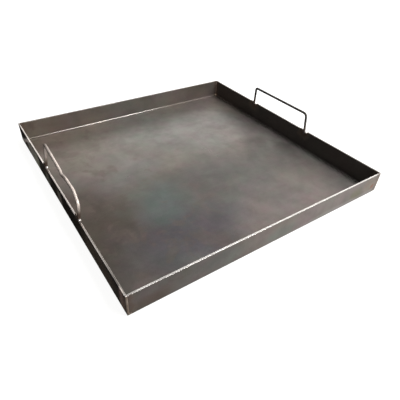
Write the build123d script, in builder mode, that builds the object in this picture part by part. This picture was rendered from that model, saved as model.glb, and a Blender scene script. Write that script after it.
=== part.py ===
"""Square drop-in griddle: a folded sheet-steel tray with two U handles welded to its rim.

Origin at the centre of the tray's underside, X to the right, Y to the back, +Z up, millimetres.
"""

from build123d import *
import os
from math import cos, hypot, radians, sin

# ---------------------------------------------------------------- driving dimensions
pan_width = 610.0            # across X, outside of the walls
pan_depth = 610.0            # along Y, outside of the walls
wall_height = 50.0           # underside to rim
sheet = 3.2                  # sheet thickness
inner_bend_radius = 3.0      # inside radius where the floor turns up into a wall
rim_deburr = 0.4             # chamfer broken along both edges of the rim

weld_gap = 0.8               # gap between two walls at a corner, filled by the weld
relief_size = 7.4            # square relief cut where two bends would meet
weld_crown_radius = 1.5      # rounding ground on the outside of a corner weld

bar_diameter = 6.0           # round bar of the handles
notch_width = 14.0           # rim notch that a handle's foot stands in
notch_depth = 4.0
notch_corner_radius = 0.8
notch_offset = 3.0           # notch centre to leg axis, towards the front

# Handle outlines in their own plane: (distance along the wall, height above the notch floor) of
# each corner of the bar's centreline, from the back foot to the front foot, and the radius of
# each bend. Both handles are bent by hand, so their corners differ. A lean is in degrees, the
# top of the handle towards the cooking surface.
right_outline = [(117.0, 0.0), (116.3, 46.3), (-73.6, 47.0), (-80.2, 0.0)]
right_bends = [5.0, 10.0]
right_lean = 0.0
left_outline = [(82.0, 0.0), (82.0, 55.0), (-14.0, 47.5), (-86.0, 48.0), (-109.0, 34.0), (-110.5, 0.0)]
left_bends = [5.0, 40.0, 8.0, 14.0]
left_lean = 8.0

# A foot weld swells along the rim: half its length, its radius about the rim, the height of its
# axis above the rim, and the distance of its middle from the leg's axis along the wall. Each
# foot has a long run behind the leg and a short one in front of it, inside the notch.
long_weld = (9.5, 3.0, -1.2, 8.5)
left_short_weld = (3.6, 3.0, -1.0, -4.2)
right_short_weld = (3.2, 2.4, -3.6, -3.8)

# ---------------------------------------------------------------- values that follow
outer_bend_radius = inner_bend_radius + sheet
column_reach = sheet + weld_gap
weld_x = pan_width / 2 - bar_diameter / 2    # foot welds lie under the bar, flush outside
seat_height = wall_height - notch_depth      # level on which the feet stand
bottom_up = (Align.CENTER, Align.CENTER, Align.MIN)

os.makedirs("parts", exist_ok=True)


def save(piece, name):
    piece.label = name
    export_step(piece, f"parts/{name}.step")


# ---------------------------------------------------------------- tray with closed corners
# The whole folded shape, corners included. The pan and the corner welds are both cut from it,
# so they meet face to face.
with BuildPart() as cavity:
    with Locations((0, 0, sheet)):
        Box(pan_width - 2 * sheet, pan_depth - 2 * sheet, wall_height, align=bottom_up)
    fillet(cavity.edges().group_by(Axis.Z)[0], radius=inner_bend_radius)

with BuildPart() as tray:
    Box(pan_width, pan_depth, wall_height, align=bottom_up)
    fillet(tray.edges().group_by(Axis.Z)[0], radius=outer_bend_radius)
    add(cavity.part, mode=Mode.SUBTRACT)
    chamfer(tray.faces().sort_by(Axis.Z)[-1].edges(), length=rim_deburr)

# The tray's plan with its vertical corners ground round.
with BuildPart() as ground_plan:
    with BuildSketch():
        RectangleRounded(pan_width, pan_depth, weld_crown_radius)
    extrude(amount=wall_height)


# ---------------------------------------------------------------- corner welds
def corner_column(side_x, side_y):
    """Space between two walls at a corner, wider at the bottom where the bends are relieved."""
    with BuildPart() as column:
        for reach, height in ((column_reach, wall_height), (relief_size, relief_size)):
            with BuildSketch():
                with Locations((side_x * pan_width / 2, side_y * pan_depth / 2)):
                    Rectangle(2 * reach, 2 * reach)
            extrude(amount=height)
    return column.part


def corner_weld(column):
    with BuildPart() as weld:
        add(tray.part)
        add(column, mode=Mode.INTERSECT)
        add(ground_plan.part, mode=Mode.INTERSECT)
    return weld.part


corners = {
    "front_left": corner_column(-1, -1),
    "front_right": corner_column(1, -1),
    "back_right": corner_column(1, 1),
    "back_left": corner_column(-1, 1),
}
for corner_name, column in corners.items():
    save(corner_weld(column), f"corner_weld_{corner_name}")


# ---------------------------------------------------------------- handles
def handle_plane(side, lean):
    """Plane of a handle: its X runs along the wall, its Y up the leaning legs.

    It starts on the notch floor, where the cut foot's outer edge is flush with the wall.
    """
    tilt = radians(lean)
    foot_x = pan_width / 2 - bar_diameter / 2 / cos(tilt)
    normal = (cos(tilt), 0, side * sin(tilt))
    return Plane(origin=(side * foot_x, 0, seat_height), x_dir=(0, 1, 0), z_dir=normal)


def past_foot(foot, knee):
    """A point on a leg's line, one bar diameter past its foot."""
    run = hypot(foot[0] - knee[0], foot[1] - knee[1])
    reach = bar_diameter / run
    return (foot[0] + reach * (foot[0] - knee[0]), foot[1] + reach * (foot[1] - knee[1]))


def bent_bar(side, outline, bends, lean):
    """Round bar bent along the outline, its feet cut level to stand in the rim notches."""
    back_end = past_foot(outline[0], outline[1])
    front_end = past_foot(outline[-1], outline[-2])
    with BuildPart() as bar:
        with BuildLine(handle_plane(side, lean)) as centreline:
            FilletPolyline(back_end, *outline[1:-1], front_end, radius=bends)
        with BuildSketch(Plane(origin=centreline.line @ 0, z_dir=centreline.line % 0)):
            Circle(bar_diameter / 2)
        sweep()
        split(bisect_by=Plane.XY.offset(seat_height), keep=Keep.TOP)
    return bar.part


handles = {
    "right": bent_bar(1, right_outline, right_bends, right_lean),
    "left": bent_bar(-1, left_outline, left_bends, left_lean),
}
for side_name, handle in handles.items():
    save(handle, f"{side_name}_handle")

# ---------------------------------------------------------------- pan
feet = [
    ("right", "back", 1, right_outline[0][0]),
    ("right", "front", 1, right_outline[-1][0]),
    ("left", "back", -1, left_outline[0][0]),
    ("left", "front", -1, left_outline[-1][0]),
]

with BuildPart() as pan:
    add(tray.part)
    for column in corners.values():
        add(column, mode=Mode.SUBTRACT)
    for _, _, side, foot_y in feet:
        with BuildSketch(Plane.YZ.offset(side * pan_width / 2)):
            with Locations((foot_y - notch_offset, wall_height)):
                RectangleRounded(notch_width, 2 * notch_depth, notch_corner_radius)
        extrude(amount=2 * sheet, both=True, mode=Mode.SUBTRACT)
save(pan.part, "pan")


# ---------------------------------------------------------------- foot welds
def foot_weld(side, foot_y, handle, swelling, kept_side):
    """Metal run along the rim against one side of a leg."""
    half_length, radius, rise, offset = swelling
    with BuildPart() as swell:
        with BuildSketch():
            Ellipse(radius, half_length)
            Rectangle(radius, 2 * half_length, align=(Align.MAX, Align.CENTER), mode=Mode.SUBTRACT)
        revolve(axis=Axis.Y)
    placed = Pos(side * weld_x, foot_y + offset, wall_height + rise) * swell.part
    with BuildPart() as weld:
        add(placed)
        split(bisect_by=Plane(origin=(0, foot_y, 0), z_dir=(0, 1, 0)), keep=kept_side)
        add(pan.part, mode=Mode.SUBTRACT)
        add(handle, mode=Mode.SUBTRACT)
    return weld.part


short_welds = {"right": right_short_weld, "left": left_short_weld}
for side_name, end, side, foot_y in feet:
    handle = handles[side_name]
    long_run = foot_weld(side, foot_y, handle, long_weld, Keep.TOP)
    short_run = foot_weld(side, foot_y, handle, short_welds[side_name], Keep.BOTTOM)
    save(long_run, f"{side_name}_{end}_foot_long_weld")
    save(short_run, f"{side_name}_{end}_foot_short_weld")
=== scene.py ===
"""Looks for the square griddle pan: mottled mill-scale steel, ground rim, tinted welds, bar handles."""

from math import cos, pi, radians, sin

import bmesh
import bpy
from mathutils import Matrix, Vector, noise


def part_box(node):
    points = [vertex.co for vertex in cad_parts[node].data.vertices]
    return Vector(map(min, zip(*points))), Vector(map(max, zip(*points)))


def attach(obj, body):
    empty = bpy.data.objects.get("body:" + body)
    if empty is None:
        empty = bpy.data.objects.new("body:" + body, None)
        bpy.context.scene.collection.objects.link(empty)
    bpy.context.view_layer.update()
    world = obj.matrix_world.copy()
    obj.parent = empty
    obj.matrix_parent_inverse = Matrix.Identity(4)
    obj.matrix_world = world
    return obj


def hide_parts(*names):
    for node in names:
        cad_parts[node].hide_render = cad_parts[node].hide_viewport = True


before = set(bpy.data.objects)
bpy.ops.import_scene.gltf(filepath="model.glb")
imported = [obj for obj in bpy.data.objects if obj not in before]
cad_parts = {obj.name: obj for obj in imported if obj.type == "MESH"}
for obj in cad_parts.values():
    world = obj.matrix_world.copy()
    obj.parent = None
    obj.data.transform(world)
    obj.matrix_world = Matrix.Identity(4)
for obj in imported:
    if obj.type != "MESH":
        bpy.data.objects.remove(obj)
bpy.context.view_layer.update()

MM = 0.001

# ---------------------------------------------------------------- sizes read from the frame
pan_top_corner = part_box("pan")[1]
HALF = pan_top_corner[0]               # half of the square tray, outside of the walls
RIM = pan_top_corner[2]
SHEET = 3.2 * MM
INNER_BEND = 3.0 * MM
OUTER_BEND = INNER_BEND + SHEET
MIDDLE_BEND = INNER_BEND + SHEET / 2
RELIEF = 7.4 * MM                      # square left out of the sheet at each corner
WALL_END = 4.0 * MM                    # walls stop this far from the outside corner
NOTCH_DEPTH = 4.0 * MM
NOTCH_FLOOR = RIM - NOTCH_DEPTH


def wall_vertices(side):
    """Vertices of the CAD pan on the left (-1) or right (1) wall."""
    inside = HALF - SHEET - 0.1 * MM
    return [v.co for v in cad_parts["pan"].data.vertices if side * v.co.x > inside]


def notch_spans(side):
    """(front end, back end) of each rim notch on a wall, front notch first."""
    clear_of_corners = HALF - 4 * RELIEF
    spans = []
    near_rim = [
        co.y
        for co in wall_vertices(side)
        if NOTCH_FLOOR - 0.5 * MM < co.z < RIM - 0.6 * MM and abs(co.y) < clear_of_corners
    ]
    middle = (min(near_rim) + max(near_rim)) / 2
    for group in ([y for y in near_rim if y < middle], [y for y in near_rim if y > middle]):
        spans.append((min(group), max(group)))
    return spans


NOTCHES = {side: notch_spans(side) for side in (-1, 1)}


def foot_point(side_name, end):
    """Where a leg stands: between its long and its short weld."""
    long_lo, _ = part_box(f"{side_name}_{end}_foot_long_weld")
    short_lo, short_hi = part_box(f"{side_name}_{end}_foot_short_weld")
    return Vector(((short_lo[0] + short_hi[0]) / 2, (long_lo[1] + short_hi[1]) / 2, NOTCH_FLOOR))


FEET = [foot_point(side_name, end) for side_name in ("left", "right") for end in ("back", "front")]


# ---------------------------------------------------------------- mesh helpers
def finish_mesh(obj, smooth_angle=40.0, weighted=True):
    """Smooth shading with hard edges above the angle in degrees."""
    obj.data.shade_smooth()
    obj.data.set_sharp_from_angle(angle=radians(smooth_angle))
    if weighted:
        normals = obj.modifiers.new("weighted normals", "WEIGHTED_NORMAL")
        normals.keep_sharp = True
        normals.weight = 90


def apply_modifiers(obj):
    """Replaces the mesh by what its modifiers make of it."""
    graph = bpy.context.evaluated_depsgraph_get()
    result = bpy.data.meshes.new_from_object(obj.evaluated_get(graph))
    obj.modifiers.clear()
    obj.data = result


def new_object(name, mesh):
    obj = bpy.data.objects.new(name, mesh)
    bpy.context.scene.collection.objects.link(obj)
    return obj


# ---------------------------------------------------------------- pan
def graded(low, high, step, marks=()):
    """Even positions from low to high, with the marks added and near neighbours of a mark left out."""
    count = max(1, round((high - low) / step))
    marks = [low, *marks, high]
    even = [low + (high - low) * i / count for i in range(1, count)]
    kept = [p for p in even if min(abs(p - m) for m in marks) > 0.35 * step]
    return sorted(kept + marks)


def floor_lift(x, y):
    """The floor has sprung up a little in the middle, unevenly."""
    reach = HALF - RELIEF
    fade = max(0.0, 1 - (x / reach) ** 4) * max(0.0, 1 - (y / reach) ** 4)
    uneven = 0.5 + 0.5 * noise.noise(Vector((x * 6.0, y * 6.0, 3.1)))
    finer = 0.12 * noise.noise(Vector((x * 24.0, y * 24.0, 7.7)))
    return fade * (uneven + finer) * 0.9 * MM


def wall_bow(along, height, seed):
    """A wall leans in a little along its length, most at the rim."""
    fade = max(0.0, 1 - (along / (HALF - WALL_END)) ** 6)
    uneven = 0.5 + 0.5 * noise.noise(Vector((along * 7.0, seed, 1.3)))
    finer = 0.15 * noise.noise(Vector((along * 30.0, seed, height * 20.0)))
    return fade * (height / RIM) * (uneven + finer) * 0.7 * MM


def rim_wear(along, seed):
    """The rim has been ground a little lower than the CAD's, unevenly."""
    return 0.05 * MM * (1 + noise.noise(Vector((along * 15.0, seed, 0.4))))


def wall_frame(wall):
    """(outward direction, direction along the wall) of wall 0 left, 1 right, 2 front, 3 back."""
    return (
        (Vector((-1, 0, 0)), Vector((0, 1, 0))),
        (Vector((1, 0, 0)), Vector((0, 1, 0))),
        (Vector((0, -1, 0)), Vector((1, 0, 0))),
        (Vector((0, 1, 0)), Vector((1, 0, 0))),
    )[wall]


GRID_STEP = 8 * MM
BEND_STEPS = 8
FLAT = HALF - OUTER_BEND               # the flat floor ends and the bends start this far out
WALL_HEIGHTS = (RELIEF, 13 * MM, 22 * MM, 31 * MM, 39 * MM, NOTCH_FLOOR, RIM)
WALL_ROWS = BEND_STEPS + len(WALL_HEIGHTS)
EDGE_ROUNDING = 0.4 * MM


class Sheet:
    """Middle surface of the folded sheet: a grid of points on the floor, the bends and the walls."""

    def __init__(self):
        relief = HALF - RELIEF
        marks = [end for spans in NOTCHES.values() for span in spans for end in span]
        self.xs = [-FLAT] + graded(-relief, relief, GRID_STEP) + [FLAT]
        self.ys = [-FLAT] + graded(-relief, relief, GRID_STEP, marks) + [FLAT]
        self.points = {}               # key: (place, normal towards the inside of the tray)

    def floor_key(self, i, j):
        key = ("floor", i, j)
        if key not in self.points:
            x, y = self.xs[i], self.ys[j]
            self.points[key] = (Vector((x, y, SHEET / 2 + floor_lift(x, y))), Vector((0, 0, 1)))
        return key

    def wall_key(self, wall, column, row):
        """Row 0 is the floor's edge, then come the bend and the heights. The outer columns are the ends."""
        line = self.ys if wall < 2 else self.xs
        if row == 0:
            edge = (0, len(self.xs) - 1, 0, len(self.ys) - 1)[wall]
            return self.floor_key(edge, column) if wall < 2 else self.floor_key(column, edge)
        key = (wall, column, row)
        if key not in self.points:
            position = line[column]
            if column == 0:
                position = -(HALF - WALL_END)
            if column == len(line) - 1:
                position = HALF - WALL_END
            self.points[key] = wall_point(wall, position, row)
        return key

    def floor_cells(self):
        last_x, last_y = len(self.xs) - 1, len(self.ys) - 1
        for i in range(last_x):
            for j in range(last_y):
                if i in (0, last_x - 1) and j in (0, last_y - 1):
                    continue
                corners = ((i, j), (i + 1, j), (i + 1, j + 1), (i, j + 1))
                yield tuple(self.floor_key(*corner) for corner in corners)

    def in_notch(self, wall, column, row):
        """Whether a cell of a side wall's top row lies in a rim notch."""
        if wall > 1 or row != WALL_ROWS - 1:
            return False
        centre = (self.ys[column] + self.ys[column + 1]) / 2
        return any(low < centre < high for low, high in NOTCHES[(-1, 1)[wall]])

    def wall_cells(self, wall):
        last = len(self.ys if wall < 2 else self.xs) - 1
        for column in range(last):
            for row in range(WALL_ROWS):
                in_relief = column in (0, last - 1) and row < BEND_STEPS + 1
                if in_relief or self.in_notch(wall, column, row):
                    continue
                corners = ((column, row), (column + 1, row), (column + 1, row + 1), (column, row + 1))
                quad = [self.wall_key(wall, *corner) for corner in corners]
                yield tuple(quad if wall in (0, 3) else reversed(quad))


def wall_point(wall, position, row):
    """(place, normal) on the middle of a wall or its bend, at a position along the wall."""
    outward, along = wall_frame(wall)
    if row <= BEND_STEPS:
        angle = pi / 2 * row / BEND_STEPS
        out = FLAT + MIDDLE_BEND * sin(angle)
        height = OUTER_BEND - MIDDLE_BEND * cos(angle)
        normal = Vector((0, 0, cos(angle))) - outward * sin(angle)
    else:
        out = HALF - SHEET / 2
        height = WALL_HEIGHTS[row - BEND_STEPS - 1]
        normal = -outward
    out -= wall_bow(position, max(0.0, height - OUTER_BEND), wall * 3.7)
    if height == RIM:
        height -= rim_wear(position, wall * 5.1)
    return outward * out + along * position + Vector((0, 0, height)), normal


def thicken(points, cells):
    """A closed mesh, one sheet thick, round the middle surface that the cells cover."""
    mesh = bmesh.new()
    inner = {k: mesh.verts.new(p + n * SHEET / 2) for k, (p, n) in points.items()}
    outer = {k: mesh.verts.new(p - n * SHEET / 2) for k, (p, n) in points.items()}
    edge_use = {}
    for cell in cells:
        mesh.faces.new([inner[k] for k in cell])
        mesh.faces.new([outer[k] for k in reversed(cell)])
        for a, b in zip(cell, cell[1:] + cell[:1]):
            edge_use.setdefault(frozenset((a, b)), []).append((a, b))
    for uses in edge_use.values():
        if len(uses) == 1:
            a, b = uses[0]
            mesh.faces.new([inner[b], inner[a], outer[a], outer[b]])
    loose = [v for v in mesh.verts if not v.link_faces]
    bmesh.ops.delete(mesh, geom=loose, context="VERTS")
    bmesh.ops.recalc_face_normals(mesh, faces=mesh.faces)
    return mesh


def build_pan():
    sheet = Sheet()
    cells = list(sheet.floor_cells())
    for wall in range(4):
        cells += sheet.wall_cells(wall)
    mesh = thicken(sheet.points, cells)
    sharp = [e for e in mesh.edges if len(e.link_faces) == 2 and e.calc_face_angle() > radians(50)]
    bmesh.ops.bevel(
        mesh,
        geom=sharp,
        offset=EDGE_ROUNDING,
        segments=3,
        profile=0.6,
        affect="EDGES",
        clamp_overlap=True,
    )
    data = bpy.data.meshes.new("pan_sheet")
    mesh.to_mesh(data)
    mesh.free()
    return new_object("pan_sheet", data)


# ---------------------------------------------------------------- handles and welds
def recast(node, name, voxel, smoothing, shift):
    """A fine even mesh in the shape of a CAD node, softened, then moved point by point."""
    copy = new_object(name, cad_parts[node].data.copy())
    copy.data.materials.clear()
    remesh = copy.modifiers.new("even", "REMESH")
    remesh.mode = "VOXEL"
    remesh.voxel_size = voxel
    soften = copy.modifiers.new("soften", "SMOOTH")
    soften.factor = 0.5
    soften.iterations = smoothing
    apply_modifiers(copy)
    copy.data.update()
    normals = [Vector(n.vector) for n in copy.data.vertex_normals]
    moves = [shift(v.co, n) for v, n in zip(copy.data.vertices, normals)]
    for vertex, move in zip(copy.data.vertices, moves):
        vertex.co += move
    return copy


def dented(co, normal):
    """Long shallow flats and small dents, never proud of the bar."""
    flats = 0.5 + 0.5 * noise.noise(co * 55.0)
    dents = 0.5 + 0.5 * noise.noise(co * 230.0)
    return normal * -(0.10 * MM * flats + 0.06 * MM * dents)


def kinked(co, normal):
    """The left bar: dented, and knocked outwards a little where its top run bends."""
    depth, middle, half_width = 1.8 * MM, -27 * MM, 9 * MM
    knock = depth * 2.72 ** -(((co.y - middle) / half_width) ** 2)
    return dented(co, normal) + Vector((-knock, 0, 0))


def weld_ripple(pitch, depth):
    """Ripples of a run laid along Y."""

    def shift(co, normal):
        wobble = 0.6 * MM * noise.noise(co * 300.0)
        wave = 0.5 + 0.5 * cos(2 * pi * (co.y + wobble) / pitch)
        lump = 0.5 + 0.5 * noise.noise(co * 420.0)
        return normal * -(depth * wave + 0.12 * MM * lump)

    return shift


def ground_seam(co, normal):
    """A corner weld ground by hand: shallow hollows."""
    hollow = 0.5 + 0.5 * noise.noise(co * 160.0)
    return normal * -0.10 * MM * hollow


# ---------------------------------------------------------------- node helpers
class Graph:
    """Short names for building one material's nodes."""

    def __init__(self, name):
        self.material = bpy.data.materials.new(name)
        self.material.use_nodes = True
        self.tree = self.material.node_tree
        self.shader = self.tree.nodes["Principled BSDF"]
        self.place = self.node("ShaderNodeTexCoord").outputs["Object"]
        self.x, self.y, self.z = self.split(self.place)

    def node(self, kind, **settings):
        made = self.tree.nodes.new(kind)
        for key, value in settings.items():
            setattr(made, key, value)
        return made

    def feed(self, socket, value):
        if isinstance(value, bpy.types.NodeSocket):
            self.tree.links.new(value, socket)
        else:
            socket.default_value = value

    def split(self, vector):
        made = self.node("ShaderNodeSeparateXYZ")
        self.feed(made.inputs[0], vector)
        return made.outputs

    def math(self, operation, *values):
        made = self.node("ShaderNodeMath", operation=operation)
        for socket, value in zip(made.inputs, values):
            self.feed(socket, value)
        return made.outputs[0]

    def times(self, first, *others):
        """Product of the values."""
        for other in others:
            first = self.math("MULTIPLY", first, other)
        return first

    def fade(self, value, start, stop, low=0.0, high=1.0):
        """Smooth step: low at start, high at stop."""
        made = self.node("ShaderNodeMapRange", interpolation_type="SMOOTHSTEP")
        for socket, item in zip(made.inputs, (value, start, stop, low, high)):
            self.feed(socket, item)
        return made.outputs[0]

    def band(self, value, start, rise, fall, stop):
        """1 from rise to fall, 0 before start and after stop."""
        return self.times(self.fade(value, start, rise), self.fade(value, stop, fall))

    def cloud(self, scale, detail=3.0, roughness=0.5, distortion=0.0, stretch=(1, 1, 1), offset=0.0):
        mapping = self.node("ShaderNodeMapping")
        self.feed(mapping.inputs["Vector"], self.place)
        mapping.inputs["Scale"].default_value = stretch
        mapping.inputs["Location"].default_value = (offset, offset * 0.7, offset * 1.3)
        made = self.node("ShaderNodeTexNoise")
        self.feed(made.inputs["Vector"], mapping.outputs[0])
        made.inputs["Scale"].default_value = scale
        made.inputs["Detail"].default_value = detail
        made.inputs["Roughness"].default_value = roughness
        made.inputs["Distortion"].default_value = distortion
        return made.outputs["Fac"]

    def drift(self, scale, amount):
        """Object coordinates pushed about by slow noise, so that placed marks get ragged outlines."""
        noise_node = self.node("ShaderNodeTexNoise")
        self.feed(noise_node.inputs["Vector"], self.place)
        noise_node.inputs["Scale"].default_value = scale
        noise_node.inputs["Detail"].default_value = 4.0
        centred = self.node("ShaderNodeVectorMath", operation="SUBTRACT")
        self.feed(centred.inputs[0], noise_node.outputs["Color"])
        centred.inputs[1].default_value = (0.5, 0.5, 0.5)
        moved = self.node("ShaderNodeVectorMath", operation="MULTIPLY_ADD")
        self.feed(moved.inputs[0], centred.outputs[0])
        moved.inputs[1].default_value = (2 * amount, 2 * amount, 0.0)
        self.feed(moved.inputs[2], self.place)
        return moved.outputs[0]

    def reach(self, place, centre, half):
        """1 on an ellipsoid round the centre, less inside it."""
        offset = self.node("ShaderNodeVectorMath", operation="SUBTRACT")
        self.feed(offset.inputs[0], place)
        offset.inputs[1].default_value = centre
        scaled = self.node("ShaderNodeVectorMath", operation="DIVIDE")
        self.feed(scaled.inputs[0], offset.outputs[0])
        scaled.inputs[1].default_value = half
        length = self.node("ShaderNodeVectorMath", operation="LENGTH")
        self.feed(length.inputs[0], scaled.outputs[0])
        return length.outputs["Value"]

    def blend(self, amount, first, second, mode="MIX"):
        made = self.node("ShaderNodeMix", data_type="RGBA", blend_type=mode)
        self.feed(made.inputs[0], amount)
        self.feed(made.inputs[6], first)
        self.feed(made.inputs[7], second)
        return made.outputs[2]

    def distance(self, point):
        made = self.node("ShaderNodeVectorMath", operation="DISTANCE")
        self.feed(made.inputs[0], self.place)
        made.inputs[1].default_value = point
        return made.outputs["Value"]

    def bump(self, height, strength, distance, under=None):
        made = self.node("ShaderNodeBump")
        self.feed(made.inputs["Strength"], strength)
        made.inputs["Distance"].default_value = distance
        self.feed(made.inputs["Height"], height)
        if under:
            self.feed(made.inputs["Normal"], under)
        return made.outputs[0]


# ---------------------------------------------------------------- colours and placed marks
WARM = (0.165, 0.140, 0.120, 1)
NEUTRAL = (0.148, 0.139, 0.130, 1)
PINK = (0.162, 0.138, 0.134, 1)
DARK = (0.075, 0.064, 0.056, 1)
# stains on the outside of the front wall, and a painted highlight along its bottom bend: x, z, half size x,
# z, colour, strength
FRONT_STAINS_AND_HIGHLIGHT = (
    (0.228, 0.018, 0.026, 0.022, (0.130, 0.128, 0.076, 1), 0.85),
    (0.275, 0.030, 0.026, 0.024, (0.215, 0.175, 0.135, 1), 0.6),
    (0.288, 0.022, 0.007, 0.008, (0.190, 0.080, 0.050, 1), 0.95),
    (0.090, 0.030, 0.060, 0.020, (0.185, 0.145, 0.145, 1), 0.5),
    (0.010, 0.018, 0.050, 0.018, (0.120, 0.140, 0.128, 1), 0.5),
    (-0.120, 0.026, 0.050, 0.022, (0.110, 0.124, 0.116, 1), 0.5),
    (-0.262, 0.014, 0.040, 0.018, (0.100, 0.070, 0.052, 1), 0.6),
    # pale band along the bottom bend of the right half: partly wear, partly a painted highlight
    (0.180, 0.006, 0.140, 0.009, (0.260, 0.250, 0.240, 1), 0.6),
)
# dull rubbed patches on the outside of the left wall: y, z, half size y, z, colour, strength
SCUFFS = (
    (0.215, 0.024, 0.022, 0.030, (0.420, 0.385, 0.350, 1), 0.80),
    (0.190, 0.024, 0.034, 0.030, (0.380, 0.375, 0.330, 1), 0.85),
    (0.155, 0.026, 0.020, 0.026, (0.420, 0.415, 0.340, 1), 0.85),
    (0.078, 0.024, 0.016, 0.024, (0.260, 0.270, 0.230, 1), 0.80),
    (0.000, 0.024, 0.016, 0.022, (0.240, 0.220, 0.190, 1), 0.70),
    (-0.200, 0.024, 0.080, 0.030, (0.170, 0.135, 0.105, 1), 0.50),
    (-0.292, 0.026, 0.012, 0.034, (0.400, 0.280, 0.240, 1), 0.60),
)
# clouds on the tray floor, partly scale tints and partly painted reflection and shadow: centre x, y, half
# size x, y, colour, strength
FLOOR_SCALE_AND_PAINTED_LIGHT = (
    # the lighter back of the floor, in this cloud and the next: painted reflection
    (-0.20, 0.19, 0.16, 0.15, (0.190, 0.160, 0.134, 1), 0.8),
    (0.03, 0.17, 0.24, 0.15, (0.165, 0.162, 0.150, 1), 0.8),
    (0.17, 0.10, 0.14, 0.12, (0.165, 0.150, 0.145, 1), 0.4),
    # dark band beside the right wall: painted shadow and reflection of that wall
    (0.24, -0.05, 0.07, 0.24, (0.120, 0.112, 0.106, 1), 0.5),
    (0.27, -0.25, 0.06, 0.06, (0.200, 0.185, 0.180, 1), 0.5),
    # dark band across the middle: painted reflection
    (0.03, -0.07, 0.30, 0.12, (0.078, 0.074, 0.069, 1), 0.75),
    (-0.29, -0.12, 0.13, 0.22, (0.066, 0.052, 0.042, 1), 0.85),
    (-0.14, -0.09, 0.09, 0.08, (0.092, 0.112, 0.106, 1), 0.8),
    (-0.13, -0.19, 0.14, 0.09, (0.072, 0.066, 0.078, 1), 0.8),
    (0.14, -0.24, 0.20, 0.10, (0.165, 0.140, 0.134, 1), 0.7),
    (-0.19, -0.25, 0.12, 0.08, (0.090, 0.089, 0.096, 1), 0.6),
    (0.09, -0.18, 0.07, 0.07, (0.115, 0.106, 0.102, 1), 0.5),
    (0.08, 0.05, 0.09, 0.08, (0.125, 0.120, 0.113, 1), 0.5),
    (0.30, -0.04, 0.04, 0.32, (0.230, 0.212, 0.200, 1), 0.6),
)
# near black for painted shade, inside the right wall and in the back bend
SHADE_BLACK = (0.050, 0.043, 0.039, 1)
BLOTCH = (0.118, 0.094, 0.080, 1)
BARE = (0.56, 0.525, 0.50, 1)
# near white for the slanting painted reflection outside the left wall
REFLECTION_STREAK = (0.95, 0.86, 0.81, 1)
# bend line colour: bare metal where the scale has come off, lightened as a painted highlight
CRACK_AND_HIGHLIGHT = (0.37, 0.342, 0.325, 1)
# rim colours: bare metal, lightened as a painted highlight
FRONT_RIM = (0.90, 0.87, 0.84, 1)
LEFT_RIM = (0.62, 0.57, 0.53, 1)
LEFT_RIM_BY_HANDLE = (0.96, 0.89, 0.85, 1)
BROWN_TINT = (0.120, 0.078, 0.058, 1)
STRAW_TINT = (0.240, 0.195, 0.145, 1)
BLUE_TINT = (0.080, 0.088, 0.115, 1)
# handle bars: two shades of scale for a lit and for a shaded copy of the same rod, then the held metal,
# which also stands for a painted highlight, and the darkening at the feet
LIT_ROD_SCALE = ((0.085, 0.070, 0.060, 1), (0.150, 0.130, 0.118, 1))
SHADED_ROD_SCALE = ((0.014, 0.013, 0.012, 1), (0.028, 0.026, 0.024, 1))
HELD_METAL_AND_SHEEN = (0.48, 0.415, 0.375, 1)
FOOT_DARKENING = (0.042, 0.026, 0.019, 1)
# welds
SEAM_SHADES = ((0.27, 0.21, 0.165, 1), (0.42, 0.36, 0.31, 1))
RUN_SHADES = ((0.10, 0.065, 0.045, 1), (0.20, 0.165, 0.14, 1))
FRESH_WELD = (0.68, 0.64, 0.60, 1)


def least(graph, values):
    result = values[0]
    for value in values[1:]:
        result = graph.math("MINIMUM", result, value)
    return result


def foot_distance(graph):
    """Distance to the nearest handle foot."""
    return least(graph, [graph.distance(foot) for foot in FEET])


def corner_distance(graph):
    """Distance along the walls to the nearest vertical corner."""
    nearer = graph.math("MINIMUM", graph.math("ABSOLUTE", graph.x), graph.math("ABSOLUTE", graph.y))
    return graph.math("SUBTRACT", HALF, nearer)


def heat_tint(graph, colour, near, reach, strength):
    """Blue beside a weld, then brown, straw further out, nothing past reach."""
    wander = graph.times(graph.math("SUBTRACT", graph.cloud(90, 4), 0.5), reach * 0.9)
    ragged = graph.math("ADD", near, wander)
    straw = graph.fade(ragged, reach, reach * 0.55, 0.0, 0.35 * strength)
    colour = graph.blend(straw, colour, STRAW_TINT)
    brown = graph.fade(ragged, reach * 0.7, reach * 0.3, 0.0, strength)
    colour = graph.blend(brown, colour, BROWN_TINT)
    blue = graph.fade(ragged, reach * 0.3, reach * 0.08, 0.0, 0.7 * strength)
    return graph.blend(blue, colour, BLUE_TINT)


# ---------------------------------------------------------------- materials
def at_rim(g, amount=1.0):
    """The amount on the ground rim, nothing on the walls below it."""
    return g.fade(g.z, RIM - 1.3 * MM, RIM - 0.5 * MM, 0.0, amount)


def scale_colour(g):
    """Broad clouds of scale, the same all over: the colour, and how much of the dark cloud there is."""
    colour = g.blend(g.fade(g.cloud(5.0, 3, 0.55, 0.4), 0.40, 0.62), WARM, NEUTRAL)
    colour = g.blend(g.fade(g.cloud(4.2, 3, 0.55, 0.5, offset=3.0), 0.50, 0.68), colour, PINK)
    dark = g.fade(g.cloud(6.5, 5, 0.6, 0.8, offset=11.0), 0.55, 0.75, 0, 0.45)
    return g.blend(dark, colour, DARK), dark


def floor_and_front_marks(g, colour):
    """The clouds on the tray floor, partly painted reflection and shadow, and the stains on the front wall,
    with a painted highlight along its bottom bend.
    """
    drifted = g.drift(7.0, 0.10)
    for x, y, half_x, half_y, tint, strength in FLOOR_SCALE_AND_PAINTED_LIGHT:
        away = g.reach(drifted, (x, y, 0), (half_x, half_y, 0.2))
        colour = g.blend(g.fade(away, 1.25, 0.25, 0.0, strength), colour, tint)
    smeared = g.drift(30.0, 0.02)
    for x, z, half_x, half_z, tint, strength in FRONT_STAINS_AND_HIGHLIGHT:
        away = g.reach(smeared, (x, -HALF, z), (half_x, 0.02, half_z))
        colour = g.blend(g.fade(away, 1.3, 0.35, 0.0, strength), colour, tint)
    return colour


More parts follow.
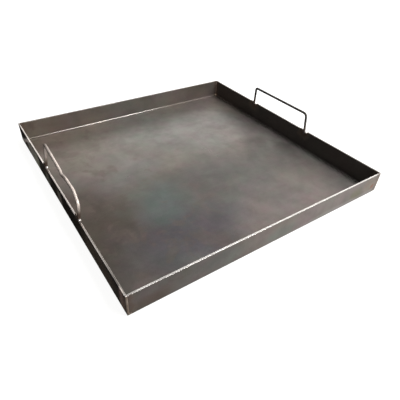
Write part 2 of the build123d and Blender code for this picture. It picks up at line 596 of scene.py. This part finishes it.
def left_wall_marks(g, colour):
    """Rubbed patches and a slanting painted reflection outside the left wall: the colour, and how matte the
    patches make it.
    """
    rubbed = g.drift(40.0, 0.012)
    outside = g.fade(g.x, -HALF + 2.4 * MM, -HALF + 1.6 * MM)
    matte_patches = 0.0
    for y, z, half_y, half_z, tint, strength in SCUFFS:
        away = g.reach(rubbed, (-HALF, y, z), (0.05, half_y, half_z))
        amount = g.times(g.fade(away, 1.25, 0.55, 0.0, strength), outside)
        colour = g.blend(amount, colour, tint)
        matte_patches = g.math("MAXIMUM", matte_patches, amount)
    # a ragged painted reflection, slanting from the foot of the back left corner up to the rim
    slope, foot = 2.3, 0.317
    slant_reflection = g.math("ABSOLUTE", g.math("SUBTRACT", g.math("MULTIPLY_ADD", g.z, slope, g.y), foot))
    slant_reflection = g.math("ADD", slant_reflection, g.fade(g.cloud(70, 4, 0.65, offset=9.0), 0.3, 0.7, -5 * MM, 12 * MM))
    slant_reflection = g.times(g.fade(slant_reflection, 19 * MM, 6 * MM, 0.0, 0.8), outside)
    return g.blend(slant_reflection, colour, REFLECTION_STREAK), g.math("MAXIMUM", matte_patches, slant_reflection)


def mottling(g, colour):
    """Brown blotches, faint green and rose, uneven tone, rolling streaks and fine grain."""
    blotch = g.fade(g.cloud(17, 4, 0.6, 0.4, offset=14.0), 0.53, 0.64)
    mostly_left = g.fade(g.x, 0.10, -0.15, 0.15, 0.45)
    colour = g.blend(g.times(blotch, mostly_left), colour, BLOTCH)
    for scale, offset, depth in ((15, 4.0, 0.014), (34, 1.0, 0.018), (80, 7.0, 0.010)):
        rose = (1 + depth, 1 - depth, 1.0, 1)
        green = (1 - depth, 1 + depth, 1 - depth / 2, 1)
        tint = g.blend(g.fade(g.cloud(scale, 3, 0.6, offset=offset), 0.36, 0.64), rose, green)
        colour = g.blend(1.0, colour, tint, "MULTIPLY")
    mottle = g.fade(g.cloud(22, 5, 0.6, 0.3), 0.25, 0.75, 0.88, 1.10)
    streak = g.fade(g.cloud(14, 4, 0.6, stretch=(0.5, 9, 1)), 0.3, 0.7, 0.98, 1.02)
    grain = g.fade(g.cloud(750, 2, 0.5), 0.3, 0.7, 0.95, 1.05)
    return g.blend(1.0, colour, g.times(mottle, streak, grain), "MULTIPLY")


def darker_inside(g, colour):
    """Painted shade: the inside of the right wall, which faces away from the light, painted near black; and
    the inside of the back wall a little darker left of the middle.
    """
    inner, outer = HALF - SHEET, HALF - 1.0 * MM
    right = g.times(
        g.fade(g.x, inner - 3.0 * MM, inner - 0.4 * MM, 0.0, 0.75),
        g.fade(g.x, outer, outer - 1.0 * MM),
    )
    colour = g.blend(right, colour, SHADE_BLACK)
    back = g.times(
        g.fade(g.y, inner - 1.5 * MM, inner - 0.4 * MM, 0.0, 0.35),
        g.fade(g.y, outer, outer - 1.0 * MM),
    )
    left_of_middle = g.times(g.fade(g.x, -0.27, -0.20), g.fade(g.x, 0.10, -0.02, 0.35, 1.0))
    return g.blend(g.times(back, left_of_middle), colour, DARK)


def ground_rim(g, colour, near_foot):
    """Bare metal, with a painted highlight that is brightest on the front and warmer on the left, and
    painted shade that leaves it duller on the right and back.

    Returns the colour, how bare it is, and how bare it is on the front.
    """
    patchy = g.fade(g.cloud(30, 3, 0.5, offset=5.0), 0.3, 0.6, 0.82, 1.0)
    foot_dulled = g.fade(near_foot, 8 * MM, 16 * MM, 0.3, 1.0)
    seam_dulled = g.fade(corner_distance(g), 4 * MM, 26 * MM, 0.45, 1.0)
    # less bare towards the back and right: painted shade
    oxidised = g.fade(g.math("MAXIMUM", g.x, g.y), HALF - 14 * MM, HALF - 6 * MM, 1.0, 0.22)
    edge_dulled = g.fade(g.y, -HALF + 0.1 * MM, -HALF + 0.55 * MM, 0.3, 1.0)
    bare = g.times(at_rim(g), patchy, foot_dulled, seam_dulled, oxidised, edge_dulled)
    by_handle = g.band(g.y, -0.17, -0.09, 0.09, 0.16)
    left = g.blend(by_handle, LEFT_RIM, LEFT_RIM_BY_HANDLE)
    front = g.fade(g.y, -HALF + 8 * MM, -HALF + 4 * MM)
    colour = g.blend(bare, colour, g.blend(front, left, FRONT_RIM))
    return colour, bare, g.times(bare, front)


def back_bend(g, colour):
    """Painted shade at the foot of the back bend, and above it a bright line of bare metal where the scale
    has come off, which also stands for a painted highlight.
    """
    inner = HALF - SHEET
    inner_face = g.band(g.y, inner - 5.0 * MM, inner - 3.4 * MM, HALF - 2.0 * MM, HALF - 1.0 * MM)
    low, high = SHEET + 0.4 * MM, SHEET + 0.8 * MM
    crease_shade = g.times(g.fade(g.z, high, low), g.fade(g.x, 0.14, 0.07, 0.0, 0.85), inner_face)
    colour = g.blend(crease_shade, colour, SHADE_BLACK)
    crack_and_highlight_band = g.band(g.z, low, high, SHEET + 2.0 * MM, SHEET + 2.7 * MM)
    # the painted highlight is gone past both ends and strongest just right of the middle
    along = g.times(
        g.fade(g.x, -0.262, -0.215, 0.0, 0.65),
        g.fade(g.x, 0.10, 0.05),
        g.fade(g.x, -0.10, 0.03, 1.0, 1.8),
    )
    broken = g.fade(g.cloud(45, 4, 0.6, offset=8.0), 0.30, 0.50, 0.6, 0.9)
    line = g.times(crack_and_highlight_band, inner_face, along, broken)
    return g.blend(line, colour, CRACK_AND_HIGHLIGHT), line


def pan_material():
    g = Graph("mill_scale_steel")
    colour, dark = scale_colour(g)
    colour = floor_and_front_marks(g, colour)
    colour, matte_patches = left_wall_marks(g, colour)
    colour = mottling(g, colour)
    colour = darker_inside(g, colour)
    near_foot = foot_distance(g)
    colour = heat_tint(g, colour, corner_distance(g), 22 * MM, 0.55)
    colour = heat_tint(g, colour, near_foot, 26 * MM, 0.8)
    colour, bare_rim, bare_front = ground_rim(g, colour, near_foot)
    # painted shade in the back bend, and a painted highlight above it
    colour, crack_and_highlight_line = back_bend(g, colour)
    bare = g.math("MAXIMUM", bare_rim, crack_and_highlight_line)
    g.feed(g.shader.inputs["Base Color"], colour)
    metallic = g.fade(bare, 0.0, 1.0, 0.80, 1.0)
    metallic = g.math("SUBTRACT", metallic, g.times(matte_patches, 0.6))
    metallic = g.math("SUBTRACT", metallic, g.times(bare_front, 0.035))
    g.feed(g.shader.inputs["Metallic"], metallic)
    smudge = g.fade(g.cloud(9, 5, 0.6, 0.5, offset=2.0), 0.3, 0.7, 0.30, 0.44)
    rough = g.math("ADD", smudge, g.fade(g.cloud(60, 4), 0.3, 0.7, -0.03, 0.04))
    rough = g.math("ADD", rough, g.times(dark, 0.12))
    rough = g.math("ADD", rough, g.times(matte_patches, 0.2))
    rough = g.math("MAXIMUM", g.math("SUBTRACT", rough, g.times(bare, 0.12)), 0.2)
    rough = g.math("ADD", rough, g.times(bare_front, 0.25))
    g.feed(g.shader.inputs["Roughness"], rough)
    unground = g.fade(bare, 0.0, 0.8, 0.25, 0.05)
    fine = g.bump(g.cloud(900, 3, 0.6), unground, 0.05 * MM)
    pits = g.bump(g.cloud(150, 4, 0.6), unground, 0.12 * MM, fine)
    g.feed(g.shader.inputs["Normal"], pits)
    return g.material


def bar_material(name, scale_colours, bare_least, bare_most, tinted, metallic, specular):
    """Handle rod: dark scale, rubbed back to metal on the part that is held; the rubbed metal also stands
    for a painted highlight, and the rod is made as lit and shaded copies.
    """
    g = Graph(name)
    colour = g.blend(g.fade(g.cloud(30, 4, 0.6), 0.35, 0.65), *scale_colours)
    # held metal, partly wear and partly a painted highlight, with less of it on the far leg
    rubbed = g.fade(g.cloud(26, 5, 0.6, offset=4.0), 0.36, 0.56, bare_least, bare_most)
    held = g.fade(g.z, RIM + 8 * MM, RIM + 26 * MM)
    held_sheen = g.times(rubbed, held, g.fade(g.y, 62 * MM, 78 * MM, 1.0, 0.6))
    colour = g.blend(held_sheen, colour, HELD_METAL_AND_SHEEN)
    colour = g.blend(1.0, colour, g.fade(g.cloud(400, 3), 0.3, 0.7, 0.9, 1.1), "MULTIPLY")
    near_foot = foot_distance(g)
    colour = heat_tint(g, colour, near_foot, 30 * MM, tinted)
    # darker towards the feet
    darker_at_feet = g.fade(near_foot, 22 * MM, 12 * MM, 0.0, 0.85 * tinted)
    colour = g.blend(darker_at_feet, colour, FOOT_DARKENING)
    g.feed(g.shader.inputs["Base Color"], colour)
    g.shader.inputs["Metallic"].default_value = metallic
    g.shader.inputs["Specular IOR Level"].default_value = specular
    rough = g.fade(g.cloud(50, 4, offset=2.0), 0.3, 0.7, 0.32, 0.46)
    rough = g.math("ADD", rough, g.times(g.math("SUBTRACT", 1.0, held_sheen), 0.1))
    g.feed(g.shader.inputs["Roughness"], rough)
    fine = g.bump(g.cloud(900, 3, 0.6), 0.3, 0.05 * MM)
    g.feed(g.shader.inputs["Normal"], g.bump(g.cloud(170, 4, 0.6), 0.4, 0.15 * MM, fine))
    return g.material


def corner_weld_material():
    """Brown ground seam with upright scratches, bare at the rim."""
    g = Graph("ground_weld")
    colour = g.blend(g.fade(g.cloud(60, 4, 0.6), 0.35, 0.65), *SEAM_SHADES)
    colour = g.blend(g.fade(g.cloud(120, 4, offset=3.0), 0.5, 0.7, 0, 0.6), colour, BROWN_TINT)
    colour = g.blend(at_rim(g, 0.8), colour, BARE)
    g.feed(g.shader.inputs["Base Color"], colour)
    g.shader.inputs["Metallic"].default_value = 0.85
    g.feed(g.shader.inputs["Roughness"], g.fade(g.cloud(90, 4), 0.3, 0.7, 0.30, 0.48))
    scratches = g.cloud(260, 4, 0.6, stretch=(1, 1, 0.12))
    g.feed(g.shader.inputs["Normal"], g.bump(scratches, 0.35, 0.1 * MM))
    return g.material


def foot_weld_material(name, brightness):
    """Brown run, with more fresh metal the brighter it is."""
    g = Graph(name)
    colour = g.blend(g.fade(g.cloud(160, 4, 0.6), 0.4, 0.62), *RUN_SHADES)
    fresh = g.fade(g.cloud(200, 4, offset=6.0), 0.62 - 0.3 * brightness, 0.72 - 0.3 * brightness)
    colour = g.blend(fresh, colour, FRESH_WELD)
    g.feed(g.shader.inputs["Base Color"], colour)
    g.shader.inputs["Metallic"].default_value = 0.9
    g.feed(g.shader.inputs["Roughness"], g.fade(g.cloud(200, 3), 0.3, 0.7, 0.22, 0.42))
    g.feed(g.shader.inputs["Normal"], g.bump(g.cloud(900, 3), 0.3, 0.06 * MM))
    return g.material


# ---------------------------------------------------------------- the pieces
def fit_piece(obj, node, material):
    obj.data.materials.clear()
    obj.data.materials.append(material)
    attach(obj, "root")
    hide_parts(node)


pan = build_pan()
finish_mesh(pan)
fit_piece(pan, "pan", pan_material())

# the same rod made twice, as painted light and shade: a lit copy for the left handle, a shaded copy for the
# right
lit_bar = bar_material(
    "handle_bar_lit",
    LIT_ROD_SCALE,
    bare_least=0.45,
    bare_most=1.0,
    tinted=0.9,
    metallic=0.62,
    specular=0.4,
)
shaded_bar = bar_material(
    "handle_bar_shaded",
    SHADED_ROD_SCALE,
    bare_least=0.0,
    bare_most=0.03,
    tinted=0.35,
    metallic=0.05,
    specular=0.08,
)
for side_name, bending, bar in (("left", kinked, lit_bar), ("right", dented, shaded_bar)):
    handle = recast(f"{side_name}_handle", f"{side_name}_bar", voxel=0.55 * MM, smoothing=2, shift=bending)
    finish_mesh(handle, 50, weighted=False)
    fit_piece(handle, f"{side_name}_handle", bar)

seam = corner_weld_material()
for corner in ("front_left", "front_right", "back_right", "back_left"):
    node = f"corner_weld_{corner}"
    strip = recast(node, f"corner_seam_{corner}", voxel=0.4 * MM, smoothing=3, shift=ground_seam)
    finish_mesh(strip, 60, weighted=False)
    fit_piece(strip, node, seam)

foot_metal = {
    "long": foot_weld_material("oxidised_run", 0.15),
    "short": foot_weld_material("bright_bead", 0.9),
}
rippled = weld_ripple(pitch=1.6 * MM, depth=0.18 * MM)
for side_name in ("left", "right"):
    for end in ("back", "front"):
        for length in ("long", "short"):
            node = f"{side_name}_{end}_foot_{length}_weld"
            name = f"{side_name}_{end}_{length}_run"
            run = recast(node, name, voxel=0.25 * MM, smoothing=2, shift=rippled)
            finish_mesh(run, 60, weighted=False)
            fit_piece(run, node, foot_metal[length])


# ---------------------------------------------------------------- stage, light and camera
PAPER_WHITE = (1, 0.995, 0.985, 1)
GLOW = (1, 1, 0.995, 1)
FLOOR_HALF = 6.0
BACKDROP_RADIUS = 5.9


def stage_material(name, glow):
    """Black in itself, with a near white glow."""
    g = Graph(name)
    g.shader.inputs["Base Color"].default_value = (0, 0, 0, 1)
    g.shader.inputs["Emission Color"].default_value = GLOW
    g.shader.inputs["Emission Strength"].default_value = glow
    return g


def add_stage_piece(name, mesh, graph, shadow):
    """Seen by the camera, not by the steel's reflections."""
    data = bpy.data.meshes.new(name)
    mesh.to_mesh(data)
    mesh.free()
    data.materials.append(graph.material)
    piece = new_object(name, data)
    piece.visible_glossy = False
    piece.visible_diffuse = False
    piece.visible_shadow = shadow


def add_stage():
    """Pale paper floor under a white half globe."""
    paper = stage_material("stage_pale", 0.93)
    shade = paper.fade(paper.cloud(3.0, 3), 0.3, 0.7, 0.12, 0.14)
    paper.feed(paper.shader.inputs["Base Color"], paper.blend(shade, (0, 0, 0, 1), PAPER_WHITE))
    paper.shader.inputs["Roughness"].default_value = 0.9
    floor = bmesh.new()
    bmesh.ops.create_grid(floor, x_segments=8, y_segments=8, size=FLOOR_HALF)
    add_stage_piece("stage_floor", floor, paper, shadow=True)
    globe = bmesh.new()
    bmesh.ops.create_uvsphere(globe, u_segments=64, v_segments=32, radius=BACKDROP_RADIUS)
    below = [v for v in globe.verts if v.co.z < -0.01]
    bmesh.ops.delete(globe, geom=below, context="VERTS")
    add_stage_piece("stage_backdrop", globe, stage_material("stage_white", 1.0), shadow=False)


def aim(obj, place, target):
    direction = Vector(target) - Vector(place)
    obj.matrix_world = Matrix.Translation(place) @ direction.to_track_quat("-Z", "Y").to_matrix().to_4x4()


def add_softbox(name, place, target, size, power):
    data = bpy.data.lights.new(name, "AREA")
    data.shape = "RECTANGLE"
    data.size, data.size_y = size
    data.energy = power
    lamp = bpy.data.objects.new(name, data)
    bpy.context.scene.collection.objects.link(lamp)
    aim(lamp, place, target)
    return lamp


DIM_ROOM = 0.22
# lit patches of the room: direction, edge and core in degrees, strength added at the core
GLOWS = (
    ((0.35, 0.85, 0.05), 44, 20, 1.4),
    ((0.95, 0.35, 0.2), 46, 18, 1.0),
    ((0.4, -0.9, 0.35), 70, 20, 0.46),
    ((0.9, -0.45, -0.4), 55, 10, 0.85),
    ((-0.75, -0.65, 0.1), 45, 15, 1.2),
)
# dark patches: direction, edge and core in degrees, share of the light left at the core
SHADES = (
    ((-0.8, 0.5, 0.35), 60, 25, 0.05),
    ((-0.15, 0.85, -0.62), 65, 35, 0.03),
)


def add_world():
    """A dim room with a low bright window band at the back, a lit right side and a dark left side."""
    world = bpy.data.worlds.new("soft_room")
    bpy.context.scene.world = world
    world.use_nodes = True
    tree = world.node_tree
    background = tree.nodes["Background"]
    direction = tree.nodes.new("ShaderNodeTexCoord").outputs["Generated"]

    def join(operation, first, second):
        made = tree.nodes.new("ShaderNodeMath")
        made.operation = operation
        for socket, value in zip(made.inputs, (first, second)):
            if isinstance(value, bpy.types.NodeSocket):
                tree.links.new(value, socket)
            else:
                socket.default_value = value
        return made.outputs[0]

    def patch(towards, edge, core, outside, inside):
        """Goes from outside, at edge degrees from a direction, to inside, at core degrees."""
        dot = tree.nodes.new("ShaderNodeVectorMath")
        dot.operation = "DOT_PRODUCT"
        tree.links.new(direction, dot.inputs[0])
        dot.inputs[1].default_value = Vector(towards).normalized()
        ramp = tree.nodes.new("ShaderNodeMapRange")
        ramp.interpolation_type = "SMOOTHSTEP"
        tree.links.new(dot.outputs["Value"], ramp.inputs[0])
        limits = (cos(radians(edge)), cos(radians(core)), outside, inside)
        for socket, value in zip(list(ramp.inputs)[1:5], limits):
            socket.default_value = value
        return ramp.outputs[0]

    light = DIM_ROOM
    for towards, edge, core, added in GLOWS:
        light = join("ADD", light, patch(towards, edge, core, 0.0, added))
    for towards, edge, core, left in SHADES:
        light = join("MULTIPLY", light, patch(towards, edge, core, 1.0, left))
    tree.links.new(light, background.inputs["Strength"])
    background.inputs["Color"].default_value = (1.0, 0.985, 0.965, 1)


def add_camera():
    """The photo's camera. Its distances are in sides of the pan."""
    azimuth, elevation, roll = radians(-36.233), radians(38.72), radians(3.264)
    side = 2 * HALF
    distance, slide, rise = 1.45334 * side, 0.04631 * side, -0.13966 * side
    back = Vector((sin(azimuth) * cos(elevation), -cos(azimuth) * cos(elevation), sin(elevation)))
    level = Vector((cos(azimuth), sin(azimuth), 0))
    upright = back.cross(level)
    right = level * cos(roll) + upright * sin(roll)
    up = upright * cos(roll) - level * sin(roll)
    place = back * distance + right * slide + up * rise
    data = bpy.data.cameras.new("camera")
    data.sensor_width = 36.0
    data.lens = 33.07
    data.clip_start, data.clip_end = 0.01, 50.0
    camera = bpy.data.objects.new("camera", data)
    bpy.context.scene.collection.objects.link(camera)
    axes = Matrix((right, up, back)).transposed().to_4x4()
    camera.matrix_world = Matrix.Translation(place) @ axes
    bpy.context.scene.camera = camera


add_stage()
add_world()
add_softbox("strip_front", place=(0.50, -1.10, 1.50), target=(0.05, 0.15, 0), size=(0.75, 0.35), power=30)
fill = add_softbox("fill_above", place=(1.15, -0.7, 2.2), target=(0, 0, 0), size=(1.4, 1.4), power=190)
fill.visible_glossy = False
add_camera()
bpy.context.scene.view_settings.view_transform = "Standard"
